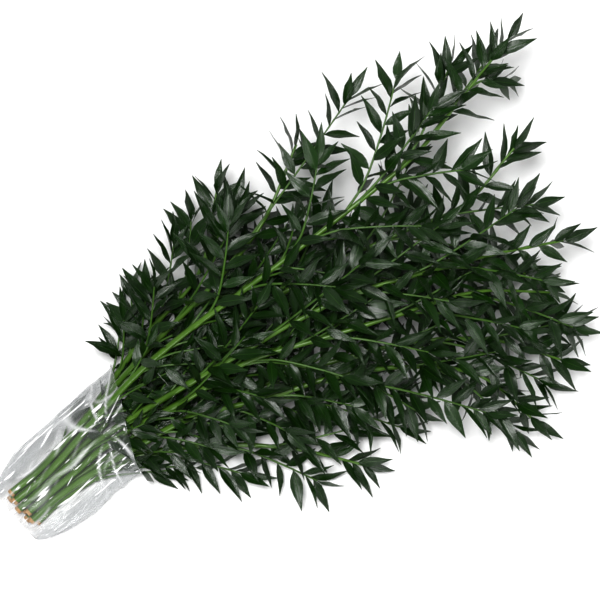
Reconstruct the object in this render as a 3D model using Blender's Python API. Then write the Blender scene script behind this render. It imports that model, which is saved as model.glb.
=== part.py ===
"""A bunch of ten leafy ruscus stems lying on a table, its cut ends in a clear film sleeve.

The routes are drawn in a plan: millimetres, seen from above, with the middle of the cut
ends at its origin on the table. The plan is then turned so that the bunch runs along +X,
and moved so that the origin is under the middle of the bunch.
"""

import math
import random

import bpy
import numpy as np
from mathutils.bvhtree import BVHTree

MM = 0.001
BUNCH_HEADING = math.radians(38)
BOX_CENTRE_IN_TURNED_PLAN = (390.0, -61.9)

# Canes, lying side by side in two layers where they are cut
CANE_RADIUS = 4.8
CANE_TIP_RADIUS = 1.5
CANE_SIDES = 6
CANE_SPAN = 76
PACK_HEADING = math.radians(41)
PACK_PITCH = 10.0
PACK_LENGTH = 48
LOW_LAYER_FIRST = -15
TOP_LAYER_FIRST = -10
TOP_LAYER_RISE = 8.7
CUT_STAGGER = 3.5

# Twigs
TWIG_RADIUS = 1.7
TWIG_TIP_RADIUS = 1.0
TWIG_SIDES = 4
TWIG_SPANS = 3
TWIG_CLEARANCE = 1.2
TWIG_STEEPEST = math.radians(40)

# Leaves
LEAF_LENGTH = 46
LEAF_WIDTH = 13.6
LEAF_SPACING = 10.3
TIP_SPACING = 5.4
TIP_LEAVES = 5
LEAF_RIB_THICKNESS = 1.2
LEAF_FOLD = 0.26
LEAF_STATIONS = ((0.14, 0.50), (0.40, 1.0), (0.74, 0.44))
LEAF_RIB_STATION = 0.42
BARE_TWIG_SHARE = 0.16
LEAFY_CANE_SHARE = 0.62
LEAF_TRIES = 26
LEAF_CLEARANCE = 0.5
FLOOR_GAP = 0.3
KEPT_TIP_LEAVES = 2
KEEP_EVERY = 3
SEED = 7

# Film sleeve
FILM_THICKNESS = 0.8
FILM_MIDDLE = 7
FILM_POINTS = 16
FILM_EDGE_HEIGHT = 9
FILM_FLAT = 1.4
# Along the pack, half width, height, slant of the mouth
FILM_STATIONS = (
    (-18, 31, 9, 0),
    (-13, 41, 24, 0),
    (8, 51, 31, 0),
    (44, 58, 40, 0),
    (96, 58, 50, 9),
    (148, 59, 62, 27),
    (157, 63, 68, 30),
)

LOW, TOP = 0, 1

# Each stem: layer and place in the pack, route of its cane after the pack, and its twigs,
# each as the share of the cane where it leaves and the place of its tip.
STEMS = {
    "upper_edge": (
        (LOW, 4),
        ((90, 143, 13), (118, 186, 24), (151, 220, 36), (174, 243, 44), (201, 281, 52),
         (214, 324, 58), (221, 374, 60)),
        ((0.44, 112, 224, 36), (0.52, 138, 256, 44), (0.60, 170, 309, 50),
         (0.62, 214, 258, 16), (0.70, 190, 338, 40), (0.78, 240, 357, 66)),
    ),
    "upper_front": (
        (TOP, 4),
        ((98, 143, 34), (135, 183, 52), (176, 228, 68), (222, 268, 80), (255, 291, 86),
         (273, 334, 90), (294, 400, 92), (312, 424, 93)),
        ((0.42, 150, 262, 84), (0.52, 246, 345, 104), (0.60, 372, 476, 104),
         (0.62, 318, 306, 112), (0.70, 272, 386, 98), (0.80, 248, 392, 80)),
    ),
    "long_cane": (
        (TOP, 3),
        ((97, 129, 42), (139, 171, 72), (225, 240, 104), (275, 273, 114), (354, 336, 122),
         (402, 373, 124), (463, 427, 122), (493, 470, 118), (531, 506, 114), (550, 540, 112)),
        ((0.42, 236, 332, 124), (0.48, 356, 262, 138), (0.56, 336, 402, 130),
         (0.60, 452, 330, 138), (0.66, 424, 494, 124), (0.71, 506, 394, 128),
         (0.68, 458, 470, 104), (0.80, 528, 520, 100),
         (0.76, 486, 514, 116), (0.83, 552, 452, 112)),
    ),
    "back_rise": (
        (LOW, 3),
        ((101, 114, 14), (190, 195, 36), (282, 247, 56), (374, 299, 70), (454, 333, 80),
         (498, 352, 84), (534, 388, 86), (560, 420, 86)),
        ((0.40, 248, 302, 60), (0.48, 346, 224, 58), (0.54, 342, 346, 78),
         (0.62, 424, 268, 62), (0.68, 442, 404, 84), (0.74, 510, 306, 72),
         (0.81, 582, 356, 84), (0.86, 502, 434, 88)),
    ),
    "middle_low": (
        (LOW, 2),
        ((107, 102, 9), (201, 178, 18), (316, 247, 28), (431, 288, 34), (523, 291, 36),
         (586, 276, 34)),
        ((0.34, 196, 238, 12), (0.42, 294, 196, 14), (0.50, 332, 302, 14),
         (0.58, 412, 234, 22), (0.66, 446, 352, 22), (0.74, 526, 246, 14),
         (0.70, 500, 200, 12), (0.80, 596, 236, 18), (0.82, 574, 330, 26)),
    ),
    "middle_front": (
        (TOP, 2),
        ((103, 99, 37), (201, 158, 78), (297, 215, 102), (340, 231, 108), (377, 255, 112),
         (416, 268, 112), (474, 282, 108), (521, 294, 102), (569, 310, 94), (616, 315, 86)),
        ((0.36, 268, 240, 118), (0.46, 390, 292, 134), (0.50, 364, 190, 122),
         (0.60, 472, 330, 122), (0.66, 484, 246, 118), (0.73, 560, 350, 106),
         (0.80, 600, 268, 92)),
    ),
    "right_reach": (
        (TOP, 1),
        ((110, 92, 33), (190, 135, 62), (245, 171, 78), (289, 189, 86), (328, 199, 90),
         (380, 216, 92), (424, 228, 92), (466, 250, 88), (530, 257, 82), (606, 256, 74)),
        ((0.32, 254, 206, 100), (0.38, 276, 136, 88), (0.48, 374, 158, 98),
         (0.53, 404, 252, 104), (0.60, 462, 188, 96), (0.68, 532, 292, 92),
         (0.74, 574, 214, 78), (0.84, 629, 216, 68)),
    ),
    "lower_middle": (
        (LOW, 1),
        ((114, 77, 11), (201, 121, 28), (316, 164, 44), (431, 196, 52), (505, 202, 52),
         (572, 198, 46), (597, 190, 43), (622, 177, 40)),
        ((0.34, 242, 170, 44), (0.42, 324, 112, 34), (0.50, 392, 212, 58),
         (0.56, 432, 140, 40), (0.66, 512, 236, 60), (0.72, 544, 150, 38),
         (0.62, 504, 168, 26), (0.78, 600, 152, 30), (0.82, 622, 222, 48)),
    ),
    "lower_front": (
        (TOP, 0),
        ((119, 72, 27), (190, 111, 46), (254, 128, 58), (304, 141, 64), (346, 156, 66),
         (376, 162, 66), (435, 170, 62), (483, 171, 56), (508, 166, 52), (535, 154, 46),
         (561, 138, 38), (577, 123, 34), (588, 108, 30)),
        ((0.34, 214, 76, 42), (0.42, 304, 94, 44), (0.50, 382, 124, 56),
         (0.52, 484, 88, 26), (0.62, 452, 118, 44), (0.72, 546, 188, 56),
         (0.58, 530, 118, 36), (0.48, 436, 98, 24), (0.80, 566, 96, 26)),
    ),
    "lower_edge": (
        (LOW, 0),
        ((122, 62, 9), (164, 74, 14), (233, 78, 18), (285, 75, 20), (332, 72, 20),
         (370, 63, 17), (394, 54, 14)),
        ((0.34, 250, 44, 12), (0.52, 268, 112, 34), (0.60, 336, 36, 12),
         (0.68, 384, 100, 30)),
    ),
}

LEAF_GREEN = (0.012, 0.036, 0.010, 1)
FILM_TINT = (0.86, 0.89, 0.90, 0.3)


def unit(vector):
    return vector / np.linalg.norm(vector)


def smooth_route(points, per_span=10):
    """Points along a smooth curve through the given points."""
    points = np.array(points, float)
    padded = np.vstack([2 * points[0] - points[1], points, 2 * points[-1] - points[-2]])
    route = []
    for a, b, c, d in zip(padded, padded[1:], padded[2:], padded[3:]):
        for t in np.arange(per_span) / per_span:
            route.append(0.5 * (2 * b + (c - a) * t + (2 * a - 5 * b + 4 * c - d) * t**2
                                + (3 * b - a - 3 * c + d) * t**3))
    route.append(points[-1])
    return np.array(route)


def walk(route):
    """How far along the route each of its points is."""
    return np.concatenate([[0], np.cumsum(np.linalg.norm(np.diff(route, axis=0), axis=1))])


def at_distance(route, distance):
    """Place and direction at a distance along the route."""
    along = walk(route)
    place = np.array([np.interp(distance, along, route[:, k]) for k in range(3)])
    ahead = np.array([np.interp(distance + 2, along, route[:, k]) for k in range(3)])
    behind = np.array([np.interp(distance - 2, along, route[:, k]) for k in range(3)])
    return place, unit(ahead - behind)


def tube(route, radii, sides):
    """Corners and faces of a closed round rod along a route."""
    corners, faces = [], []
    for k, centre in enumerate(route):
        ahead = unit(route[min(k + 1, len(route) - 1)] - route[max(k - 1, 0)])
        side = unit(np.cross((0, 0, 1), ahead))
        up = np.cross(ahead, side)
        for turn in np.arange(sides) * 2 * math.pi / sides:
            corners.append(centre + radii[k] * (side * math.cos(turn) + up * math.sin(turn)))
    for k in range(len(route) - 1):
        for j in range(sides):
            a, b = k * sides + j, k * sides + (j + 1) % sides
            faces.append((a, b, b + sides, a + sides))
    faces.append(tuple(range(sides))[::-1])
    faces.append(tuple(range((len(route) - 1) * sides, len(route) * sides)))
    return np.array(corners), faces


def leaf_blade(leaf, grow=0.0):
    """Corners and faces of one folded blade, thick at its rib and thin at its edge."""
    along, normal = leaf["along"], leaf["normal"]
    across = np.cross(normal, along)
    length, half = leaf["length"], leaf["width"] / 2
    rib = LEAF_RIB_THICKNESS / 2 + grow

    def at(share, side, rise):
        bend = -leaf["droop"] * length * share**2
        reach = share * (length + grow)
        return leaf["base"] + along * reach + across * side + normal * (rise + bend)

    sides = [(t, half * w + grow, LEAF_FOLD * half * w) for t, w in LEAF_STATIONS]
    corners = [at(0, 0, rib), at(0, 0, -rib)]
    corners += [at(t, w, rise) for t, w, rise in sides]
    corners += [at(1, 0, 0)]
    corners += [at(t, -w, rise) for t, w, rise in reversed(sides)]
    corners += [at(LEAF_RIB_STATION, 0, rib), at(LEAF_RIB_STATION, 0, -rib)]
    edge = list(range(2, 9))
    top, bottom = 9, 10
    faces = [(b, a, top) for a, b in zip(edge, edge[1:])]
    faces += [(a, b, bottom) for a, b in zip(edge, edge[1:])]
    faces += [(2, 0, top), (0, 8, top), (1, 2, bottom), (8, 1, bottom), (0, 2, 1), (8, 0, 1)]
    return np.array(corners), faces


def pack_axes():
    ahead = np.array([math.cos(PACK_HEADING), math.sin(PACK_HEADING), 0])
    return ahead, np.array([-ahead[1], ahead[0], 0])


def pack_place(layer, place, distance):
    """Centre of a cane in the pack, at a distance from the cut ends."""
    ahead, left = pack_axes()
    first = LOW_LAYER_FIRST if layer == LOW else TOP_LAYER_FIRST
    flat_radius = CANE_RADIUS * math.cos(math.pi / CANE_SIDES)
    height = FILM_THICKNESS + FLOOR_GAP + flat_radius + layer * TOP_LAYER_RISE
    return ahead * distance + left * (first + place * PACK_PITCH) + np.array([0, 0, height])


def cane_route(layer, place, route):
    """Points every so often along a cane: the ends of its straight pack, then out to its tip."""
    cut = -6 - CUT_STAGGER * ((place * 2 + layer) % 3 - 1)
    start = [pack_place(layer, place, distance) for distance in (cut, PACK_LENGTH)]
    curve = smooth_route(start[1:] + [np.array(point, float) for point in route])
    length = walk(curve)[-1]
    distances = np.linspace(0, length, round(length / CANE_SPAN))[1:]
    return np.array(start + [at_distance(curve, distance)[0] for distance in distances])


def cane_radius(share):
    """A cane keeps its thickness through the pack, then tapers to its tip."""
    fall = max(0.0, share - 0.12) / 0.88
    return CANE_RADIUS + (CANE_TIP_RADIUS - CANE_RADIUS) * fall**0.9


def twig_route(start, ahead, tip, lift):
    """A few points of a twig that leaves its cane at a slant and arches over to its tip."""
    reach = np.linalg.norm(tip - start)
    turn = start + ahead * reach * 0.2 + np.array([0, 0, lift])
    fall = tip - unit(tip - turn) * reach * 0.3 + np.array([0, 0, lift * 0.5])
    shares = np.linspace(0, 1, TWIG_SPANS + 1)[:, None]
    return ((1 - shares)**3 * start + 3 * (1 - shares)**2 * shares * turn
            + 3 * (1 - shares) * shares**2 * fall + shares**3 * tip)


def film_ring(station):
    """Points round the sleeve at one of its stations."""
    distance, half, height, slant = station
    ahead, left = pack_axes()
    ring = []
    for turn in np.arange(FILM_POINTS) * 2 * math.pi / FILM_POINTS:
        side, rise = math.cos(turn), math.sin(turn)
        edge = min(FILM_EDGE_HEIGHT, height / 2)
        if rise >= 0:
            z = edge + (height - edge) * rise
        else:
            z = edge * (1 - min(1, -rise * FILM_FLAT))
        place = ahead * (distance + slant * side) + left * (FILM_MIDDLE + half * side)
        ring.append(place + np.array([0, 0, z]))
    return np.array(ring)


def film_surface():
    """Corners and faces of the sleeve's outer skin, shut at the cut ends and open at the mouth."""
    corners = np.vstack([film_ring(station) for station in FILM_STATIONS])
    faces = []
    for k in range(len(FILM_STATIONS) - 1):
        for j in range(FILM_POINTS):
            a, b = k * FILM_POINTS + j, k * FILM_POINTS + (j + 1) % FILM_POINTS
            faces.append((a, b, b + FILM_POINTS, a + FILM_POINTS))
    faces.append(tuple(range(FILM_POINTS))[::-1])
    return corners, faces


class Space:
    """What is already in the bunch, to keep new twigs and leaves clear of it."""

    def __init__(self):
        self.trees, self.owners, self.lows, self.highs = [], [], [], []

    def add(self, corners, faces, owner):
        self.trees.append(BVHTree.FromPolygons([tuple(c) for c in corners], faces))
        self.owners.append(owner)
        self.lows.append(corners.min(0))
        self.highs.append(corners.max(0))

    def clear(self, corners, faces, but=()):
        low, high = corners.min(0), corners.max(0)
        near = ((np.array(self.lows) < high) & (np.array(self.highs) > low)).all(1)
        tree = BVHTree.FromPolygons([tuple(c) for c in corners], faces)
        for k in np.flatnonzero(near):
            if self.owners[k] not in but and tree.overlap(self.trees[k]):
                return False
        return True


def twig_start(cane, distance, tip):
    """Place on the cane, moved back until the twig leaves at a slant and not across."""
    while True:
        start, ahead = at_distance(cane, distance)
        if np.dot(unit(tip - start), ahead) > math.cos(TWIG_STEEPEST) or distance < 120:
            return start, ahead
        distance -= 6


def lay_twigs(canes, space):
    """Every twig of every cane, its tip moved up, down or sideways until it is clear."""
    twigs = []
    for name, (_, _, wanted) in STEMS.items():
        cane = canes[name]
        length = walk(cane)[-1]
        for number, (share, x, y, z) in enumerate(wanted):
            start, ahead = twig_start(cane, share * length, np.array([x, y, z]))
            best = None
            for k in range(40):
                rise = (0, 7, -7, 14, -14, 21, -21, 28)[k % 8]
                sway = (0, 9, -9, 18, -18)[k // 8]
                tip = np.array([x + sway, y - sway * 0.5, max(z + rise, 8)])
                route = twig_route(start, ahead, tip, 4 + abs(rise) * 0.3)
                corners, faces = twig_tube(route, TWIG_CLEARANCE)
                if corners[:, 2].min() < 1 or not space.clear(corners, faces, (name,)):
                    continue
                best = route
                space.add(corners, faces, f"{name}_{number}")
                break
            if best is None:
                continue
            twigs.append({"stem": name, "name": f"{name}_{number}", "route": best,
                          "first": BARE_TWIG_SHARE})
        twigs.append({"stem": name, "name": name, "route": cane, "first": LEAFY_CANE_SHARE})
    return twigs


def leaf_pose(twig, distance, total, rank, dice, attempt):
    """One leaf on a twig. Later attempts turn it further from its usual place."""
    base, ahead = at_distance(twig["route"], distance)
    side = unit(np.cross((0, 0, 1), ahead))
    up = np.cross(ahead, side)
    from_tip = total - distance
    loose = 1 + attempt * 0.12
    usual = (72, -72, 50, -95, 95, -50)[rank % 6]
    azimuth = math.radians(usual + dice.gauss(0, 20) * loose)
    lean = math.radians(57 - 43 * math.exp(-from_tip / 26) + dice.gauss(0, 6) * loose)
    outward = up * math.cos(azimuth) + side * math.sin(azimuth)
    along = ahead * math.cos(lean) + outward * math.sin(lean)
    if from_tip < 1:
        along = unit(ahead + outward * 0.12)
    inner = ahead * math.sin(lean) - outward * math.cos(lean)
    facing = np.array([0, 0, 1]) * 0.75 + inner * 0.45
    facing = unit(facing - along * np.dot(facing, along))
    roll = math.radians(dice.gauss(0, 20) * loose)
    facing = facing * math.cos(roll) + np.cross(along, facing) * math.sin(roll)
    share = distance / total
    size = 1.0 - 0.14 * math.exp(-from_tip / 12) - 0.18 * max(0, 0.3 - share) / 0.3
    size *= dice.uniform(0.84, 1.14)
    return {"base": base, "along": unit(along), "normal": facing,
            "length": LEAF_LENGTH * size, "width": LEAF_WIDTH * size * dice.uniform(0.88, 1.1),
            "droop": dice.uniform(0.02, 0.2)}


def leaf_places(total, first):
    """Distances of a twig's leaves, crowded at its tip and wider apart below."""
    from_tip = [TIP_SPACING * rank for rank in range(TIP_LEAVES)]
    while total - from_tip[-1] > first:
        from_tip.append(from_tip[-1] + LEAF_SPACING)
    return [total - distance for distance in from_tip[:-1]]


def lay_leaves(twigs, space):
    """Leaves up both sides of every twig, each turned until it is clear of all the others."""
    dice = random.Random(SEED)
    leaves = []
    for twig in twigs:
        total = walk(twig["route"])[-1] - 0.5
        distances = leaf_places(total, twig["first"] * total)
        for rank, distance in enumerate(distances):
            for attempt in range(LEAF_TRIES):
                leaf = leaf_pose(twig, distance, total, rank, dice, attempt)
                corners, faces = leaf_blade(leaf, LEAF_CLEARANCE)
                if corners[:, 2].min() < FLOOR_GAP:
                    continue
                if space.clear(corners, faces, (twig["name"],)):
                    leaf.update(stem=twig["stem"], twig=twig["name"], rank=rank)
                    leaves.append(leaf)
                    space.add(corners, faces, "leaf")
                    break
    return leaves


def lay_bunch():
    """Canes, twigs and leaves of the whole bunch, in the plan."""
    space = Space()
    canes = {}
    for name, ((layer, place), route, _) in STEMS.items():
        canes[name] = cane_route(layer, place, route)
        space.add(*cane_tube(canes[name], TWIG_CLEARANCE), name)
    space.add(*film_surface(), "film")
    twigs = lay_twigs(canes, space)
    return canes, twigs, lay_leaves(twigs, space)


def cane_tube(cane, grow=0.0):
    """A cane as a tapering rod."""
    along = walk(cane)
    radii = [cane_radius(distance / along[-1]) + grow for distance in along]
    return tube(cane, radii, CANE_SIDES)


def twig_tube(route, grow=0.0):
    """A twig as a slim rod whose root lies in its cane."""
    radii = np.linspace(TWIG_RADIUS, TWIG_TIP_RADIUS, len(route)) + grow
    return tube(route, radii, TWIG_SIDES)


def in_frame(corners):
    """Plan millimetres to the part's own frame in metres."""
    turn = np.array([[math.cos(BUNCH_HEADING), math.sin(BUNCH_HEADING)],
                     [-math.sin(BUNCH_HEADING), math.cos(BUNCH_HEADING)]])
    placed = np.array(corners, float)
    placed[:, :2] = placed[:, :2] @ turn.T - BOX_CENTRE_IN_TURNED_PLAN
    return placed * MM


def material(name, colour, roughness, alpha=1.0):
    made = bpy.data.materials.new(name)
    made.use_nodes = True
    shader = made.node_tree.nodes["Principled BSDF"]
    shader.inputs["Base Color"].default_value = colour[:3] + (1,)
    shader.inputs["Roughness"].default_value = roughness
    shader.inputs["Metallic"].default_value = 0
    shader.inputs["Alpha"].default_value = alpha
    return made


def mesh_object(name, corners, faces, collection):
    mesh = bpy.data.meshes.new(name)
    mesh.from_pydata([tuple(c) for c in in_frame(corners)], [], faces)
    made = bpy.data.objects.new(name, mesh)
    collection.objects.link(made)
    return made


def build_stem(name, cane, twigs, leaves, look):
    """One leafy stem as one body: cane, twigs and leaves joined where they grow."""
    scene = bpy.context.scene.collection
    growth = bpy.data.collections.new(name + "_growth")
    scene.children.link(growth)
    stem = mesh_object("leafy_stem_" + name, *cane_tube(cane), scene)
    for twig in twigs:
        if twig["name"] != name:
            mesh_object(twig["name"], *twig_tube(twig["route"]), growth)
    for leaf in leaves:
        if leaf["rank"] < KEPT_TIP_LEAVES or leaf["rank"] % KEEP_EVERY == 1:
            mesh_object("leaf", *leaf_blade(leaf), growth)
    union = stem.modifiers.new("join", "BOOLEAN")
    union.operation = "UNION"
    union.operand_type = "COLLECTION"
    union.collection = growth
    union.solver = "MANIFOLD"
    bpy.context.view_layer.objects.active = stem
    bpy.ops.object.modifier_apply(modifier=union.name)
    for made in list(growth.objects):
        bpy.data.objects.remove(made)
    bpy.data.collections.remove(growth)
    stem.data.materials.clear()
    stem.data.materials.append(look)
    return stem


def build_sleeve(look):
    """The clear film as a thin wall, flat where it lies on the table."""
    sleeve = mesh_object("film_sleeve", *film_surface(), bpy.context.scene.collection)
    wall = sleeve.modifiers.new("wall", "SOLIDIFY")
    wall.thickness = FILM_THICKNESS * MM
    wall.offset = -1
    wall.use_even_offset = True
    sleeve.data.materials.append(look)
    return sleeve


def main():
    for made in list(bpy.data.objects):
        bpy.data.objects.remove(made)
    leaf_look = material("leaf_green", LEAF_GREEN, 0.38)
    film_look = material("clear_film", FILM_TINT, 0.12, FILM_TINT[3])
    canes, twigs, leaves = lay_bunch()
    for name in STEMS:
        own_twigs = [twig for twig in twigs if twig["stem"] == name]
        own_leaves = [leaf for leaf in leaves if leaf["stem"] == name]
        build_stem(name, canes[name], own_twigs, own_leaves, leaf_look)
    build_sleeve(film_look)
    print("twigs", len(twigs), "leaves", len(leaves))


main()
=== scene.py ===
"""Looks of a bunch of fresh ruscus stems on a pale table, cut ends in a clear film sleeve.

The stems are laid in a plan: millimetres, seen from above, with the middle of the cut ends
at its origin on the table. The plan is then turned so that the bunch runs along +X. The
solids are laid in it by the same rules, so the two agree.
"""

import math
import random
from itertools import product

import bpy
import numpy as np
from mathutils import Matrix, Vector, noise
from mathutils.bvhtree import BVHTree

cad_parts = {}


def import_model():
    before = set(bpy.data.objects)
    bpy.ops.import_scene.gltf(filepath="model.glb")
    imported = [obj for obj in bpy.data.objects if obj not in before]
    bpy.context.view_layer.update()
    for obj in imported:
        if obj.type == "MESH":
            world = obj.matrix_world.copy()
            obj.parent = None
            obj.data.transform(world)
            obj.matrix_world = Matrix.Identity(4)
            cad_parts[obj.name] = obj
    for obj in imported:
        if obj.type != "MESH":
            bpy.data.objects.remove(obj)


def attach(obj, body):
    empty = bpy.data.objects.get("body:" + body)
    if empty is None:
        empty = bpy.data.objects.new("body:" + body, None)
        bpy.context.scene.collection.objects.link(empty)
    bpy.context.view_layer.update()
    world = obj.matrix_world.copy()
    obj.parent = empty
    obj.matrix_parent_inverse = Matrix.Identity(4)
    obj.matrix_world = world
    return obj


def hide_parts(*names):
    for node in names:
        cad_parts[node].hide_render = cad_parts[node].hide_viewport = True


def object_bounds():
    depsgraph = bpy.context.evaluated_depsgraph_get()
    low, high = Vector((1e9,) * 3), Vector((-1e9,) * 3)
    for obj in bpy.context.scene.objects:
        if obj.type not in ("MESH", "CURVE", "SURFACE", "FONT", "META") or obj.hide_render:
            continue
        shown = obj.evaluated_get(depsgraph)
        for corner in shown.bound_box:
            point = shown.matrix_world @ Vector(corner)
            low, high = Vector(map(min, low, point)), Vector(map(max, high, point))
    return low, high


MM = 0.001
NEAR = 2
UP = (0, 0, 1)
BUNCH_HEADING = math.radians(38)
BOX_CENTRE_IN_TURNED_PLAN = (390.0, -61.9)

# Canes, lying side by side in two layers where they are cut
CANE_RADIUS = 4.8
CANE_TIP_RADIUS = 1.5
CANE_SIDES = 6
CANE_SPAN = 76
CANE_TAPERS_FROM = 0.12
CANE_TAPER_POWER = 0.9
PACK_HEADING = math.radians(41)
PACK_PITCH = 10.0
PACK_LENGTH = 48
LOW_LAYER_FIRST = -15
TOP_LAYER_FIRST = -10
TOP_LAYER_RISE = 8.7
CUT_PLACE = -6
CUT_STAGGER = 3.5

# Twigs
TWIG_RADIUS = 1.7
TWIG_TIP_RADIUS = 1.0
TWIG_SIDES = 4
TWIG_SPANS = 3
TWIG_CLEARANCE = 1.2
TWIG_FLOOR = 1
TWIG_STEEPEST = math.radians(40)
FIRST_TWIG = 120
STEP_BACK = 6
# Shares of a twig's reach: how far it follows its cane, and its last run
TWIG_SLANT = 0.2
TWIG_FALL = 0.3
# Lift of a twig's arch, and more of it for each millimetre that its tip is moved
TWIG_LIFT = 4
LIFT_PER_RISE = 0.3
LOWEST_TIP = 8
# Moves of a tip, sideways and up or down, that are tried in turn
TIP_SWAYS = (0, 9, -9, 18, -18)
TIP_RISES = (0, 7, -7, 14, -14, 21, -21, 28)

# Leaves
LEAF_LENGTH = 46
LEAF_WIDTH = 13.6
LEAF_SPACING = 10.3
TIP_SPACING = 5.4
TIP_LEAVES = 5
TIP_INSET = 0.5
LEAF_RIB_THICKNESS = 1.2
LEAF_FOLD = 0.26
# Share of the length, share of the half width
LEAF_STATIONS = ((0.14, 0.50), (0.40, 1.0), (0.74, 0.44))
LEAF_RIB_STATION = 0.42
BARE_TWIG_SHARE = 0.16
LEAFY_CANE_SHARE = 0.62
LEAF_TRIES = 26
LEAF_CLEARANCE = 0.5
FLOOR_GAP = 0.3
SEED = 7
# Degrees round the twig from its upper side, for each leaf in turn
LEAF_AZIMUTHS = (72, -72, 50, -95, 95, -50)
# Degrees that a leaf leans out from its twig, less near the tip
LEAF_LEAN = 57
TIP_LEAN_LESS = 43
TIP_LEAN_REACH = 26
END_LEAF_LEAN = 0.12
# Spread of a leaf's angles in degrees, wider after each try
AZIMUTH_SPREAD = 20
LEAN_SPREAD = 6
ROLL_SPREAD = 20
SPREAD_GROWTH = 0.12
# How much a leaf faces up, and how much it faces its twig
FACE_UP = 0.75
FACE_TWIG = 0.45
# How much smaller leaves are at the tip and low on the twig
TIP_LEAF_LESS = 0.14
TIP_LEAF_REACH = 12
LOW_LEAF_LESS = 0.18
LOW_LEAF_SHARE = 0.3
# Ranges of a leaf's size, width and droop
LEAF_SIZES = (0.84, 1.14)
LEAF_WIDTHS = (0.88, 1.1)
LEAF_DROOPS = (0.02, 0.2)

# Film sleeve of the solids
FILM_THICKNESS = 0.8
FILM_MIDDLE = 7
FILM_POINTS = 16
FILM_EDGE_HEIGHT = 9
FILM_FLAT = 1.4
# Along the pack, half width, height, slant of the mouth
FILM_STATIONS = (
    (-18, 31, 9, 0),
    (-13, 41, 24, 0),
    (8, 51, 31, 0),
    (44, 58, 40, 0),
    (96, 58, 50, 9),
    (148, 59, 62, 27),
    (157, 63, 68, 30),
)

LOW, TOP = 0, 1

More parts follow.
